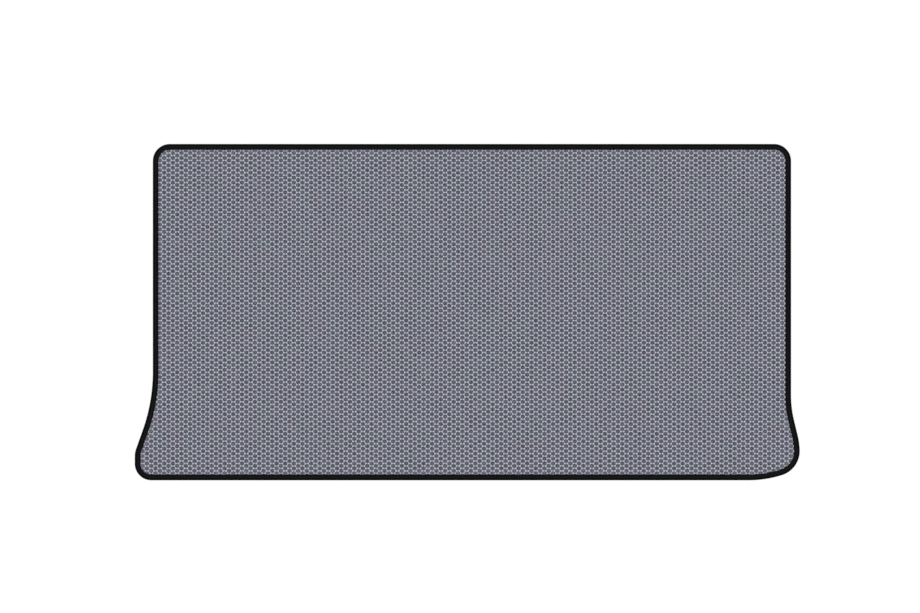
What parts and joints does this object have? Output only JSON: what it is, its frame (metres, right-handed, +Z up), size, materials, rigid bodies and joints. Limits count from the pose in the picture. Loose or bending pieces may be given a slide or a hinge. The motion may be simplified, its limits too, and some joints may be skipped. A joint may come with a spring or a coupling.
{
  "type": "car boot liner",
  "caption": "Flat boot liner for a car: one foam sheet moulded with honeycomb pockets, flared out behind the wheel arches, its edge bound with folded and sewn tape.",
  "frame": {"origin": "on the boot floor, under the middle of the liner's bounding box", "axes": "+X to the right seen from above, along the liner's length; +Y to the straight front edge, behind the seats; +Z up out of the boot floor"},
  "size_m": [1.0965, 0.5542, 0.01],
  "materials": {
    "foam": "matt moulded closed-cell foam",
    "tape": "matt woven binding tape",
    "thread": "dull sewing thread"
  },
  "bodies": {
    "root": {"foam_sheet": "foam", "edge_tape": "tape", "needle_thread": "thread", "bobbin_thread": "thread"}
  },
  "joints": []
}
